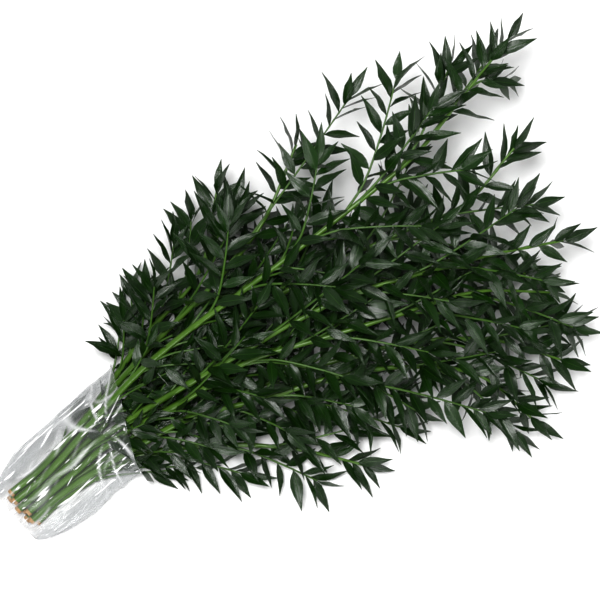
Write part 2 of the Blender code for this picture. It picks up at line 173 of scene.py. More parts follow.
# Each stem: layer and place in the pack, route of its cane after the pack, and its twigs,
# each as the share of the cane where it leaves and the place of its tip.
STEMS = {
    "upper_edge": (
        (LOW, 4),
        ((90, 143, 13), (118, 186, 24), (151, 220, 36), (174, 243, 44), (201, 281, 52),
         (214, 324, 58), (221, 374, 60)),
        ((0.44, 112, 224, 36), (0.52, 138, 256, 44), (0.60, 170, 309, 50),
         (0.62, 214, 258, 16), (0.70, 190, 338, 40), (0.78, 240, 357, 66)),
    ),
    "upper_front": (
        (TOP, 4),
        ((98, 143, 34), (135, 183, 52), (176, 228, 68), (222, 268, 80), (255, 291, 86),
         (273, 334, 90), (294, 400, 92), (312, 424, 93)),
        ((0.42, 150, 262, 84), (0.52, 246, 345, 104), (0.60, 372, 476, 104),
         (0.62, 318, 306, 112), (0.70, 272, 386, 98), (0.80, 248, 392, 80)),
    ),
    "long_cane": (
        (TOP, 3),
        ((97, 129, 42), (139, 171, 72), (225, 240, 104), (275, 273, 114), (354, 336, 122),
         (402, 373, 124), (463, 427, 122), (493, 470, 118), (531, 506, 114), (550, 540, 112)),
        ((0.42, 236, 332, 124), (0.48, 356, 262, 138), (0.56, 336, 402, 130),
         (0.60, 452, 330, 138), (0.66, 424, 494, 124), (0.71, 506, 394, 128),
         (0.68, 458, 470, 104), (0.80, 528, 520, 100),
         (0.76, 486, 514, 116), (0.83, 552, 452, 112)),
    ),
    "back_rise": (
        (LOW, 3),
        ((101, 114, 14), (190, 195, 36), (282, 247, 56), (374, 299, 70), (454, 333, 80),
         (498, 352, 84), (534, 388, 86), (560, 420, 86)),
        ((0.40, 248, 302, 60), (0.48, 346, 224, 58), (0.54, 342, 346, 78),
         (0.62, 424, 268, 62), (0.68, 442, 404, 84), (0.74, 510, 306, 72),
         (0.81, 582, 356, 84), (0.86, 502, 434, 88)),
    ),
    "middle_low": (
        (LOW, 2),
        ((107, 102, 9), (201, 178, 18), (316, 247, 28), (431, 288, 34), (523, 291, 36),
         (586, 276, 34)),
        ((0.34, 196, 238, 12), (0.42, 294, 196, 14), (0.50, 332, 302, 14),
         (0.58, 412, 234, 22), (0.66, 446, 352, 22), (0.74, 526, 246, 14),
         (0.70, 500, 200, 12), (0.80, 596, 236, 18), (0.82, 574, 330, 26)),
    ),
    "middle_front": (
        (TOP, 2),
        ((103, 99, 37), (201, 158, 78), (297, 215, 102), (340, 231, 108), (377, 255, 112),
         (416, 268, 112), (474, 282, 108), (521, 294, 102), (569, 310, 94), (616, 315, 86)),
        ((0.36, 268, 240, 118), (0.46, 390, 292, 134), (0.50, 364, 190, 122),
         (0.60, 472, 330, 122), (0.66, 484, 246, 118), (0.73, 560, 350, 106),
         (0.80, 600, 268, 92)),
    ),
    "right_reach": (
        (TOP, 1),
        ((110, 92, 33), (190, 135, 62), (245, 171, 78), (289, 189, 86), (328, 199, 90),
         (380, 216, 92), (424, 228, 92), (466, 250, 88), (530, 257, 82), (606, 256, 74)),
        ((0.32, 254, 206, 100), (0.38, 276, 136, 88), (0.48, 374, 158, 98),
         (0.53, 404, 252, 104), (0.60, 462, 188, 96), (0.68, 532, 292, 92),
         (0.74, 574, 214, 78), (0.84, 629, 216, 68)),
    ),
    "lower_middle": (
        (LOW, 1),
        ((114, 77, 11), (201, 121, 28), (316, 164, 44), (431, 196, 52), (505, 202, 52),
         (572, 198, 46), (597, 190, 43), (622, 177, 40)),
        ((0.34, 242, 170, 44), (0.42, 324, 112, 34), (0.50, 392, 212, 58),
         (0.56, 432, 140, 40), (0.66, 512, 236, 60), (0.72, 544, 150, 38),
         (0.62, 504, 168, 26), (0.78, 600, 152, 30), (0.82, 622, 222, 48)),
    ),
    "lower_front": (
        (TOP, 0),
        ((119, 72, 27), (190, 111, 46), (254, 128, 58), (304, 141, 64), (346, 156, 66),
         (376, 162, 66), (435, 170, 62), (483, 171, 56), (508, 166, 52), (535, 154, 46),
         (561, 138, 38), (577, 123, 34), (588, 108, 30)),
        ((0.34, 214, 76, 42), (0.42, 304, 94, 44), (0.50, 382, 124, 56),
         (0.52, 484, 88, 26), (0.62, 452, 118, 44), (0.72, 546, 188, 56),
         (0.58, 530, 118, 36), (0.48, 436, 98, 24), (0.80, 566, 96, 26)),
    ),
    "lower_edge": (
        (LOW, 0),
        ((122, 62, 9), (164, 74, 14), (233, 78, 18), (285, 75, 20), (332, 72, 20),
         (370, 63, 17), (394, 54, 14)),
        ((0.34, 250, 44, 12), (0.52, 268, 112, 34), (0.60, 336, 36, 12),
         (0.68, 384, 100, 30)),
    ),
}

# Small twigs with small leaves, between those that the solids are laid with
FILL_SEED = 23
FILL_SPACING = 11
FILL_SHARES = (0.14, 0.95)
FILL_TRIES = 8
FILL_LOWEST_TIP = 7
FILL_LIFT = 3
# Degrees that a small twig turns from its cane, and how many more at the cane's tip
FILL_TURN = (10, 34)
FILL_TURN_GROWTH = 18
# Reach of a small twig, and how much shorter it is at the cane's tip
FILL_REACH = (60, 125)
FILL_REACH_LESS = 0.22
# Height of its tip over its root, along the cane and near the sleeve's mouth
FILL_FALL = (-62, 15)
FILL_FALL_NEAR_MOUTH = (-18, 34)
NEAR_MOUTH = 0.37
FILL_BARE_SHARE = 0.08
FILL_LEAF_TRIES = 12
FILL_LEAF_SIZE = 0.82
FILL_LEAF_SPACING = 7.6
# How far small leaves may rise above the solids
HEADROOM = 4

# Finished blades: share of the length, share of the width, at each line across the leaf
BLADE_LINES = ((0.0, 0.11), (0.05, 0.13), (0.13, 0.50), (0.25, 0.86), (0.41, 1.0),
               (0.61, 0.77), (0.81, 0.36), (1.0, 0.03))
BLADE_ROWS = 4
BLADE_THICKNESS = 0.008
BLADE_SHARP_EDGE = math.radians(50)
# Fold up from the rib, wave of the edge, sideways sweep of the tip, degrees of twist
BLADE_FORMS = (
    (0.24, 0.018, 0.05, 8), (0.30, 0.030, -0.06, -10), (0.18, 0.022, 0.02, 14),
    (0.26, 0.040, -0.03, -16), (0.14, 0.028, 0.07, 5), (0.34, 0.016, -0.05, -6),
)
LEAF_ASPECT = LEAF_WIDTH / LEAF_LENGTH
SWEEP_BACK = 0.3
# Radians of wave along a blade, its shift from form to form, its growth from the rib
WAVE_TURN = 9.5
WAVE_SHIFT = 1.7
WAVE_GROWTH = 3.2
WAVE_MEAN = 0.7
WAVE_LEAN = 0.3
# Mean and spread of a leaf's tone, from dark to light
LEAF_TONE = (0.42, 0.22)

# Finished rods: spacing of their points, height and spread of their swellings
CANE_STEP = 6
TWIG_STEP = 5
CANE_SLIMMER = 0.95
CANE_KNOT = (0.55, 4.5)
CANE_KNOTS_FROM = 30
CANE_KNOT_SPACING = 47
TWIG_RADII = (1.55, 0.75)
TWIG_KNOT = (0.22, 1.8)

# Finished film: points round and along it, thickness, and the gap that its seam closes
FILM_ROUND = 224
FILM_LONG = 130
FILM_THIN = 0.12
SEAM_GAP = 0.05
FILM_LOWEST = 0.15
# Along and across the pack, where the film is drawn down and its folds meet
PINCH = (130, 11)
PINCH_DEPTH = 8
PINCH_REACH = 52
# Folds to a radian, width of the ridge's painted glint as a share of the fold, push in
# millimetres
LONG_FOLDS = (1.75, 0.16, 4.2)
SLANT_FOLDS = (2.3, 0.2, 2.6)
SPOKE_FOLDS = (1.43, 0.14, 5.0)
LONG_DRIFT = 0.9
SLANT_LENGTH = 60
SPOKE_DRIFT = 0.6
MEAN_PUSH = 4.4
SIDE_PUSH = 0.8
# A painted glint shows on a crease where its patch is above this
LONG_THRESHOLD = 0.45
SLANT_THRESHOLD = 0.5
CREASE_GLINT_GAIN = 2.4
# Painted glints on the spokes are wider near the pinch, and there is none right at it
SPOKE_WIDENS = (2.5, 4)
SPOKE_GLINT_RAMP = (8, 22)
SPOKE_GLINT_GAIN = 1.5
LEAST_CREASE_GLINT = 0.15
# Where the film is free to crumple: above its flat underside, and off its closed end
FREE_RISE = (-0.45, 0.5)
FREE_SHARE = (0.01, 0.12)
# Last share of the sleeve, over which its lip wavers
LIP_FROM = 0.8
LIP_OVER = 0.2
LIP_WAVER = 5
LIP_SHORTER = 2
# Half width of the canes' pack, how it widens, how soon the film beside it takes painted grey
# shade
PACK_HALF_WIDTH = 27
PACK_WIDENS = 0.1
BESIDE_OVER = 10
# Closed end: how far inside the first station, and how deep in metres its ring is
END_INSET = 1.5
END_DEPTH = 0.02

# Cut faces
CUT_RADIUS = 4.72
CUT_DEPTH = 4
CUT_POINTS = 16
CUT_BEVEL = 0.25
CUT_INSET = 1.2

# Colours in linear light: dark, light, and a leaf's rib
LEAF_TOP = ((0.0035, 0.017, 0.0012), (0.010, 0.042, 0.003), (0.030, 0.085, 0.010))
LEAF_UNDERSIDE = ((0.008, 0.030, 0.003), (0.020, 0.060, 0.007), (0.040, 0.10, 0.016))
CANE_BARK = ((0.022, 0.075, 0.005), (0.11, 0.23, 0.025))
TWIG_SKIN = ((0.020, 0.070, 0.006), (0.075, 0.17, 0.018))
CUT_WOOD = ((0.24, 0.12, 0.04), (0.62, 0.40, 0.19))
FRESH_WOOD = (0.50, 0.30, 0.12)
FILM_TINT = (0.80, 0.82, 0.84)
# Grey painted as shade on the film beside the canes
FILM_PAINTED_SHADE = (0.60, 0.615, 0.63)
# White: the sky, and the film's painted glints
WHITE = (1.0, 1.0, 1.0)
TABLE_WHITE = (0.93, 0.93, 0.93)
# Half width of a leaf's rib, where it starts and ends to fade, and how pale it is
RIB_FADE = (0.012, 0.045)
RIB_PALENESS = 0.45
VEIN_TURN = 118
# Stretch of the painted glint streaks on the film
GLINT_STREAK_STRETCH = 22

# Metres: the table, and each light's place and size, then its watts
TABLE_SIZE = 30
TABLE_BELOW = -0.0004
LIGHTS = (
    ("key", (-0.4, 0.5, 3.15), 0.9, 96),
    ("side", (1.9, 0.2, 1.6), 0.7, 18),
    ("low", (-0.3, -1.9, 1.3), 0.7, 15),
)
LIGHT_AIM = (0, 0, 0.05)
SKY_STRENGTH = 0.34
GAMMA = 0.8
# The camera looks straight down, turned so that the bunch lies as in the photograph
CAMERA_PLAN = (316.2, 247.2)
CAMERA_HEIGHT = 2.935
CAMERA_LENS = 150


def unit(vector):
    return vector / np.linalg.norm(vector)


def smooth_route(points, per_span=10):
    """Points along a smooth curve through the given points."""
    points = np.array(points, float)
    padded = np.vstack([2 * points[0] - points[1], points, 2 * points[-1] - points[-2]])
    route = []
    for a, b, c, d in zip(padded, padded[1:], padded[2:], padded[3:]):
        for t in np.arange(per_span) / per_span:
            route.append(0.5 * (2 * b + (c - a) * t + (2 * a - 5 * b + 4 * c - d) * t**2
                                + (3 * b - a - 3 * c + d) * t**3))
    route.append(points[-1])
    return np.array(route)


def walk(route):
    """How far along the route each of its points is."""
    return np.concatenate([[0], np.cumsum(np.linalg.norm(np.diff(route, axis=0), axis=1))])


def at_distance(route, distance):
    """Place and direction at a distance along the route."""
    along = walk(route)
    place = np.array([np.interp(distance, along, route[:, k]) for k in range(3)])
    ahead = np.array([np.interp(distance + NEAR, along, route[:, k]) for k in range(3)])
    behind = np.array([np.interp(distance - NEAR, along, route[:, k]) for k in range(3)])
    return place, unit(ahead - behind)


def tube(route, radii, sides):
    """Corners and faces of a closed round rod along a route."""
    corners, faces = [], []
    for k, centre in enumerate(route):
        ahead = unit(route[min(k + 1, len(route) - 1)] - route[max(k - 1, 0)])
        side = unit(np.cross(UP, ahead))
        up = np.cross(ahead, side)
        for turn in np.arange(sides) * 2 * math.pi / sides:
            corners.append(centre + radii[k] * (side * math.cos(turn) + up * math.sin(turn)))
    for k in range(len(route) - 1):
        for j in range(sides):
            a, b = k * sides + j, k * sides + (j + 1) % sides
            faces.append((a, b, b + sides, a + sides))
    faces.append(tuple(range(sides))[::-1])
    faces.append(tuple(range((len(route) - 1) * sides, len(route) * sides)))
    return np.array(corners), faces


def leaf_blade(leaf, grow):
    """Corners and faces of one folded blade, thick at its rib and thin at its edge."""
    along, normal = leaf["along"], leaf["normal"]
    across = np.cross(normal, along)
    length, half = leaf["length"], leaf["width"] / 2
    rib = LEAF_RIB_THICKNESS / 2 + grow

    def at(share, side, rise):
        bend = -leaf["droop"] * length * share**2
        reach = share * (length + grow)
        return leaf["base"] + along * reach + across * side + normal * (rise + bend)

    sides = [(t, half * w + grow, LEAF_FOLD * half * w) for t, w in LEAF_STATIONS]
    corners = [at(0, 0, rib), at(0, 0, -rib)]
    corners += [at(t, w, rise) for t, w, rise in sides]
    corners += [at(1, 0, 0)]
    corners += [at(t, -w, rise) for t, w, rise in reversed(sides)]
    corners += [at(LEAF_RIB_STATION, 0, rib), at(LEAF_RIB_STATION, 0, -rib)]
    edge = list(range(2, 9))
    top, bottom = 9, 10
    faces = [(b, a, top) for a, b in zip(edge, edge[1:])]
    faces += [(a, b, bottom) for a, b in zip(edge, edge[1:])]
    faces += [(2, 0, top), (0, 8, top), (1, 2, bottom), (8, 1, bottom), (0, 2, 1), (8, 0, 1)]
    return np.array(corners), faces


def pack_axes():
    """Directions of the plan along the pack of canes and to its left."""
    ahead = np.array([math.cos(PACK_HEADING), math.sin(PACK_HEADING), 0])
    return ahead, np.array([-ahead[1], ahead[0], 0])


def pack_place(layer, place, distance):
    """Centre of a cane in the pack, at a distance from the cut ends."""
    ahead, left = pack_axes()
    first = LOW_LAYER_FIRST if layer == LOW else TOP_LAYER_FIRST
    flat_radius = CANE_RADIUS * math.cos(math.pi / CANE_SIDES)
    height = FILM_THICKNESS + FLOOR_GAP + flat_radius + layer * TOP_LAYER_RISE
    return ahead * distance + left * (first + place * PACK_PITCH) + np.array([0, 0, height])


def cane_route(layer, place, route):
    """Points every so often along a cane: its straight run in the pack, then out to its tip."""
    cut = CUT_PLACE - CUT_STAGGER * ((place * 2 + layer) % 3 - 1)
    start = [pack_place(layer, place, distance) for distance in (cut, PACK_LENGTH)]
    curve = smooth_route(start[1:] + [np.array(point, float) for point in route])
    length = walk(curve)[-1]
    distances = np.linspace(0, length, round(length / CANE_SPAN))[1:]
    return np.array(start + [at_distance(curve, distance)[0] for distance in distances])


def cane_radius(share):
    """A cane keeps its thickness through the pack, then tapers to its tip."""
    fall = max(0.0, share - CANE_TAPERS_FROM) / (1 - CANE_TAPERS_FROM)
    return CANE_RADIUS + (CANE_TIP_RADIUS - CANE_RADIUS) * fall**CANE_TAPER_POWER


def cane_tube(cane, grow):
    """A cane as a tapering rod."""
    along = walk(cane)
    radii = [cane_radius(distance / along[-1]) + grow for distance in along]
    return tube(cane, radii, CANE_SIDES)


def twig_route(start, ahead, tip, lift):
    """A few points of a twig that leaves its cane at a slant and arches over to its tip."""
    reach = np.linalg.norm(tip - start)
    turn = start + ahead * reach * TWIG_SLANT + np.array([0, 0, lift])
    fall = tip - unit(tip - turn) * reach * TWIG_FALL + np.array([0, 0, lift * 0.5])
    shares = np.linspace(0, 1, TWIG_SPANS + 1)[:, None]
    return ((1 - shares)**3 * start + 3 * (1 - shares)**2 * shares * turn
            + 3 * (1 - shares) * shares**2 * fall + shares**3 * tip)


def twig_tube(route, grow):
    """A twig as a slim rod whose root lies in its cane."""
    radii = np.linspace(TWIG_RADIUS, TWIG_TIP_RADIUS, len(route)) + grow
    return tube(route, radii, TWIG_SIDES)


def film_height(rise, height):
    """Height of the film at a point of its ring: flat below, domed above its edges."""
    edge = min(FILM_EDGE_HEIGHT, height / 2)
    if rise >= 0:
        return edge + (height - edge) * rise
    return edge * (1 - min(1, -rise * FILM_FLAT))


def film_ring(station):
    """Points round the sleeve of the solids at one of its stations."""
    distance, half, height, slant = station
    ahead, left = pack_axes()
    ring = []
    for turn in np.arange(FILM_POINTS) * 2 * math.pi / FILM_POINTS:
        side, rise = math.cos(turn), math.sin(turn)
        place = ahead * (distance + slant * side) + left * (FILM_MIDDLE + half * side)
        ring.append(place + np.array([0, 0, film_height(rise, height)]))
    return np.array(ring)


def film_surface():
    """Corners and faces of the solids' sleeve, shut at the cut ends only."""
    corners = np.vstack([film_ring(station) for station in FILM_STATIONS])
    faces = []
    for k in range(len(FILM_STATIONS) - 1):
        for j in range(FILM_POINTS):
            a, b = k * FILM_POINTS + j, k * FILM_POINTS + (j + 1) % FILM_POINTS
            faces.append((a, b, b + FILM_POINTS, a + FILM_POINTS))
    faces.append(tuple(range(FILM_POINTS))[::-1])
    return corners, faces


def in_frame(corners):
    """Plan millimetres to the part's own frame in metres."""
    turn = np.array([[math.cos(BUNCH_HEADING), math.sin(BUNCH_HEADING)],
                     [-math.sin(BUNCH_HEADING), math.cos(BUNCH_HEADING)]])
    placed = np.array(corners, float)
    placed[:, :2] = placed[:, :2] @ turn.T - BOX_CENTRE_IN_TURNED_PLAN
    return placed * MM


# The lay of the bunch


class Space:
    """What is already in the bunch, to keep new twigs and leaves clear of it."""

    def __init__(self):
        self.trees, self.owners, self.lows, self.highs = [], [], [], []

    def add(self, corners, faces, owner):
        self.trees.append(BVHTree.FromPolygons([tuple(c) for c in corners], faces))
        self.owners.append(owner)
        self.lows.append(corners.min(0))
        self.highs.append(corners.max(0))

    def clear(self, corners, faces, owner):
        """Whether a shape touches nothing but what it grows on."""
        low, high = corners.min(0), corners.max(0)
        near = ((np.array(self.lows) < high) & (np.array(self.highs) > low)).all(1)
        tree = BVHTree.FromPolygons([tuple(c) for c in corners], faces)
        for k in np.flatnonzero(near):
            if self.owners[k] != owner and tree.overlap(self.trees[k]):
                return False
        return True

    def take_twig(self, route, cane, name):
        """Add a twig if it is clear of the table and of all but its cane."""
        corners, faces = twig_tube(route, TWIG_CLEARANCE)
        if corners[:, 2].min() < TWIG_FLOOR or not self.clear(corners, faces, cane):
            return False
        self.add(corners, faces, name)
        return True


def twig_start(cane, distance, tip):
    """Place on the cane, moved back until the twig leaves at a slant and not across."""
    while True:
        start, ahead = at_distance(cane, distance)
        slant = np.dot(unit(tip - start), ahead)
        if slant > math.cos(TWIG_STEEPEST) or distance < FIRST_TWIG:
            return start, ahead
        distance -= STEP_BACK


def lay_twigs(canes, space):
    """Every twig of every cane, its tip moved up, down or sideways until it is clear."""
    twigs = []
    for name, (_, _, wanted) in STEMS.items():
        cane = canes[name]
        length = walk(cane)[-1]
        for number, (share, x, y, z) in enumerate(wanted):
            start, ahead = twig_start(cane, share * length, np.array([x, y, z]))
            own = f"{name}_{number}"
            for sway, rise in product(TIP_SWAYS, TIP_RISES):
                tip = np.array([x + sway, y - sway * 0.5, max(z + rise, LOWEST_TIP)])
                route = twig_route(start, ahead, tip, TWIG_LIFT + abs(rise) * LIFT_PER_RISE)
                if space.take_twig(route, name, own):
                    twigs.append({"stem": name, "name": own, "route": route,
                                  "first": BARE_TWIG_SHARE})
                    break
        twigs.append({"stem": name, "name": name, "route": cane, "first": LEAFY_CANE_SHARE})
    return twigs


def lay_fill_twigs(canes, space):
    """Shorter twigs all along every cane, wherever one fits between the others."""
    dice = random.Random(FILL_SEED)
    twigs = []
    for name, cane in canes.items():
        length = walk(cane)[-1]
        distances = np.arange(*FILL_SHARES, FILL_SPACING / length) * length
        for number, distance in enumerate(distances):
            start, ahead = at_distance(cane, distance)
            side = unit(np.cross(UP, ahead))
            share = distance / length
            own = f"{name}_fill_{number}"
            for attempt in range(FILL_TRIES):
                hand = 1 if (number + attempt) % 2 else -1
                widest = FILL_TURN[1] + FILL_TURN_GROWTH * share
                turn = hand * math.radians(dice.uniform(FILL_TURN[0], widest))
                reach = dice.uniform(*FILL_REACH) * (1 - FILL_REACH_LESS * share)
                tip = start + (ahead * math.cos(turn) + side * math.sin(turn)) * reach
                fall = FILL_FALL if share > NEAR_MOUTH else FILL_FALL_NEAR_MOUTH
                tip[2] = max(FILL_LOWEST_TIP, start[2] + dice.uniform(*fall))
                route = twig_route(start, ahead, tip, FILL_LIFT)
                if space.take_twig(route, name, own):
                    twigs.append({"stem": name, "name": own, "route": route,
                                  "first": FILL_BARE_SHARE})
                    break
    return twigs


def leaf_pose(twig, distance, total, rank, dice, attempt):
    """One leaf on a twig. Later attempts turn it further from its usual place."""
    base, ahead = at_distance(twig["route"], distance)
    side = unit(np.cross(UP, ahead))
    up = np.cross(ahead, side)
    from_tip = total - distance
    loose = 1 + attempt * SPREAD_GROWTH
    usual = LEAF_AZIMUTHS[rank % len(LEAF_AZIMUTHS)]
    azimuth = math.radians(usual + dice.gauss(0, AZIMUTH_SPREAD) * loose)
    lean = LEAF_LEAN - TIP_LEAN_LESS * math.exp(-from_tip / TIP_LEAN_REACH)
    lean = math.radians(lean + dice.gauss(0, LEAN_SPREAD) * loose)
    outward = up * math.cos(azimuth) + side * math.sin(azimuth)
    along = ahead * math.cos(lean) + outward * math.sin(lean)
    if from_tip < 1:
        along = unit(ahead + outward * END_LEAF_LEAN)
    inner = ahead * math.sin(lean) - outward * math.cos(lean)
    facing = np.array(UP) * FACE_UP + inner * FACE_TWIG
    facing = unit(facing - along * np.dot(facing, along))
    roll = math.radians(dice.gauss(0, ROLL_SPREAD) * loose)
    facing = facing * math.cos(roll) + np.cross(along, facing) * math.sin(roll)
    low = max(0, LOW_LEAF_SHARE - distance / total)
    size = 1.0 - TIP_LEAF_LESS * math.exp(-from_tip / TIP_LEAF_REACH)
    size -= LOW_LEAF_LESS * low / LOW_LEAF_SHARE
    size *= dice.uniform(*LEAF_SIZES)
    return {"base": base, "along": unit(along), "normal": facing,
            "length": LEAF_LENGTH * size,
            "width": LEAF_WIDTH * size * dice.uniform(*LEAF_WIDTHS),
            "droop": dice.uniform(*LEAF_DROOPS)}


def leaf_places(total, first):
    """Distances of a twig's leaves, crowded at its tip and wider apart below."""
    from_tip = [TIP_SPACING * rank for rank in range(TIP_LEAVES)]
    while total - from_tip[-1] > first:
        from_tip.append(from_tip[-1] + LEAF_SPACING)
    return [total - distance for distance in from_tip[:-1]]


def fill_leaf_places(total, first):
    """Distances of a small twig's leaves, evenly down from its tip."""
    return np.arange(total, first, -FILL_LEAF_SPACING)


def lay_leaves(twigs, space, places, size, tries, seed, top=math.inf):
    """Leaves up both sides of every twig, each turned until it is clear of all the others."""
    dice = random.Random(seed)
    leaves = []
    for twig in twigs:
        total = walk(twig["route"])[-1] - TIP_INSET
        for rank, distance in enumerate(places(total, twig["first"] * total)):
            for attempt in range(tries):
                leaf = leaf_pose(twig, distance, total, rank, dice, attempt)
                leaf["length"] *= size
                leaf["width"] *= size
                corners, faces = leaf_blade(leaf, LEAF_CLEARANCE)
                if corners[:, 2].min() < FLOOR_GAP or corners[:, 2].max() > top:
                    continue
                if space.clear(corners, faces, twig["name"]):
                    leaf.update(stem=twig["stem"], twig=twig["name"])
                    leaves.append(leaf)
                    space.add(corners, faces, "leaf")
                    break
    return leaves


def lay_bunch(top):
    """Canes, twigs and leaves: first as the solids lay them, then the small ones between."""
    space = Space()
    canes = {}
    for name, ((layer, place), route, _) in STEMS.items():
        canes[name] = cane_route(layer, place, route)
        space.add(*cane_tube(canes[name], TWIG_CLEARANCE), name)
    space.add(*film_surface(), "film")
    twigs = lay_twigs(canes, space)
    leaves = lay_leaves(twigs, space, leaf_places, 1, LEAF_TRIES, SEED)
    fill = lay_fill_twigs(canes, space)
    leaves += lay_leaves(fill, space, fill_leaf_places, FILL_LEAF_SIZE, FILL_LEAF_TRIES,
                         FILL_SEED, top)
    return canes, twigs + fill, leaves


# Mesh helpers


def only(*objects):
    """Select these objects alone, the first of them active."""
    bpy.ops.object.select_all(action="DESELECT")
    for made in objects:
        made.select_set(True)
    bpy.context.view_layer.objects.active = objects[0]


def pick(sheet, test):
    """In edit mode, select the points for which the test holds."""
    bpy.ops.mesh.select_mode(type="VERT")
    bpy.ops.mesh.select_all(action="DESELECT")
    bpy.ops.object.mode_set(mode="OBJECT")
    for point in sheet.data.vertices:
        point.select = test(point.co)
    bpy.ops.object.mode_set(mode="EDIT")


def thicken(sheet, thickness, underside=0):
    """Thicken a sheet evenly, its underside so many material slots on."""
    only(sheet)
    wall = sheet.modifiers.new("wall", "SOLIDIFY")
    wall.thickness = thickness
    wall.offset = 0
    wall.material_offset = underside
    bpy.ops.object.modifier_apply(modifier=wall.name)


def set_attribute(mesh, name, values):
    """Store one number for each point of a mesh, for its material to read."""
    made = mesh.attributes.new(name, "FLOAT", "POINT")
    made.data.foreach_set("value", np.array(values, np.float32))


# Materials


def new_material(name, colour, roughness):
    made = bpy.data.materials.new(name)
    made.use_nodes = True
    shader = made.node_tree.nodes["Principled BSDF"]
    shader.inputs["Base Color"].default_value = colour + (1,)
    shader.inputs["Roughness"].default_value = roughness
    return made, made.node_tree, shader


def attribute(tree, name):
    made = tree.nodes.new("ShaderNodeAttribute")
    made.attribute_name = name
    return made.outputs["Fac"]


def math_node(tree, operation, first, second=None):
    made = tree.nodes.new("ShaderNodeMath")
    made.operation = operation
    for socket, value in zip(made.inputs, (first, second)):
        if value is None:
            continue
        if isinstance(value, (int, float)):
            socket.default_value = value
        else:
            tree.links.new(value, socket)
    return made.outputs[0]


def map_range(tree, value, source, target=(0, 1)):
    """A value carried from one range to another, and held at its ends."""
    made = tree.nodes.new("ShaderNodeMapRange")
    made.inputs["From Min"].default_value, made.inputs["From Max"].default_value = source
    made.inputs["To Min"].default_value, made.inputs["To Max"].default_value = target
    tree.links.new(value, made.inputs["Value"])
    return made.outputs["Result"]


def mix_colour(tree, factor, first, second):
    made = tree.nodes.new("ShaderNodeMix")
    made.data_type = "RGBA"
    sockets = (made.inputs[0], made.inputs[6], made.inputs[7])
    for socket, value in zip(sockets, (factor, first, second)):
        if isinstance(value, tuple):
            socket.default_value = value + (1,)
        else:
            tree.links.new(value, socket)
    return made.outputs[2]


def object_noise(tree, scale, detail, stretch=(1, 1, 1), turn=None):
    """Noise over an object. With a turn, it is stretched along that many radians of slant."""
    place = tree.nodes.new("ShaderNodeTexCoord")
    spread = tree.nodes.new("ShaderNodeMapping")
    if turn is not None:
        spread.vector_type = "TEXTURE"
        spread.inputs["Rotation"].default_value = (0, 0, turn)
    spread.inputs["Scale"].default_value = stretch
    tree.links.new(place.outputs["Object"], spread.inputs["Vector"])
    grain = tree.nodes.new("ShaderNodeTexNoise")
    grain.inputs["Scale"].default_value = scale
    grain.inputs["Detail"].default_value = detail
    tree.links.new(spread.outputs["Vector"], grain.inputs["Vector"])
    return grain.outputs["Fac"]


def bump(tree, shader, height, distance, strength=1.0):
    made = tree.nodes.new("ShaderNodeBump")
    made.inputs["Distance"].default_value = distance
    made.inputs["Strength"].default_value = strength
    tree.links.new(height, made.inputs["Height"])
    tree.links.new(made.outputs["Normal"], shader.inputs["Normal"])


def leaf_material(name, colours, roughness, gloss):
    """A leaf's skin: its tone by leaf, a pale midrib, faint veins along it, soft mottling."""
    dark, light, rib = colours
    made, tree, shader = new_material(name, dark, roughness)
    tone = attribute(tree, "tone")
    mottle = object_noise(tree, scale=90, detail=2)
    blend = math_node(tree, "ADD", tone, math_node(tree, "MULTIPLY", mottle, 0.5))
    blend = math_node(tree, "SUBTRACT", blend, 0.25)
    skin = mix_colour(tree, blend, dark, light)
    place = tree.nodes.new("ShaderNodeUVMap")
    split = tree.nodes.new("ShaderNodeSeparateXYZ")
    tree.links.new(place.outputs["UV"], split.inputs["Vector"])
    off_rib = math_node(tree, "ABSOLUTE", math_node(tree, "SUBTRACT", split.outputs["Y"], 0.5))
    paleness = map_range(tree, off_rib, RIB_FADE, (RIB_PALENESS, 0))
    skin = mix_colour(tree, paleness, skin, rib)
    veins = math_node(tree, "SINE", math_node(tree, "MULTIPLY", off_rib, VEIN_TURN))
    shade = math_node(tree, "MULTIPLY", math_node(tree, "ADD", veins, 1), 0.05)
    skin = mix_colour(tree, shade, skin, light)
    tree.links.new(skin, shader.inputs["Base Color"])
    rough = math_node(tree, "MULTIPLY", mottle, 0.05)
    rough = math_node(tree, "ADD", rough, roughness - 0.025)
    tree.links.new(rough, shader.inputs["Roughness"])
    shader.inputs["Specular IOR Level"].default_value = gloss
    relief = math_node(tree, "ADD", math_node(tree, "MULTIPLY", veins, 0.25), paleness)
    bump(tree, shader, relief, distance=0.0002, strength=0.6)
    return made


def cane_material(name, colours, roughness, scale):
    """Green bark with fine streaks along the cane and paler patches."""
    dark, light = colours
    made, tree, shader = new_material(name, light, roughness)
    grain = object_noise(tree, scale, detail=4, stretch=(0.06, 1, 1))
    paler = object_noise(tree, scale=22, detail=2)
    blend = math_node(tree, "MULTIPLY", math_node(tree, "ADD", grain, paler), 0.62)
    skin = mix_colour(tree, blend, dark, light)
    tree.links.new(skin, shader.inputs["Base Color"])
    bump(tree, shader, grain, distance=0.0004, strength=0.7)
    return made


def wood_material():
    """Fresh cut wood, pale with a darker grain."""
    made, tree, shader = new_material("cut_wood", FRESH_WOOD, roughness=0.6)
    grain = object_noise(tree, scale=420, detail=4)
    skin = mix_colour(tree, grain, *CUT_WOOD)
    tree.links.new(skin, shader.inputs["Base Color"])
    bump(tree, shader, grain, distance=0.0003)
    return made


def glint_streaks(tree, scale, turn, source):
    """Painted glint in long thin streaks on a slant of so many radians to the bunch, 0 to 1."""
    grain = object_noise(tree, scale, 1.5, (GLINT_STREAK_STRETCH, 1, 1.4), turn)
    return map_range(tree, grain, source)


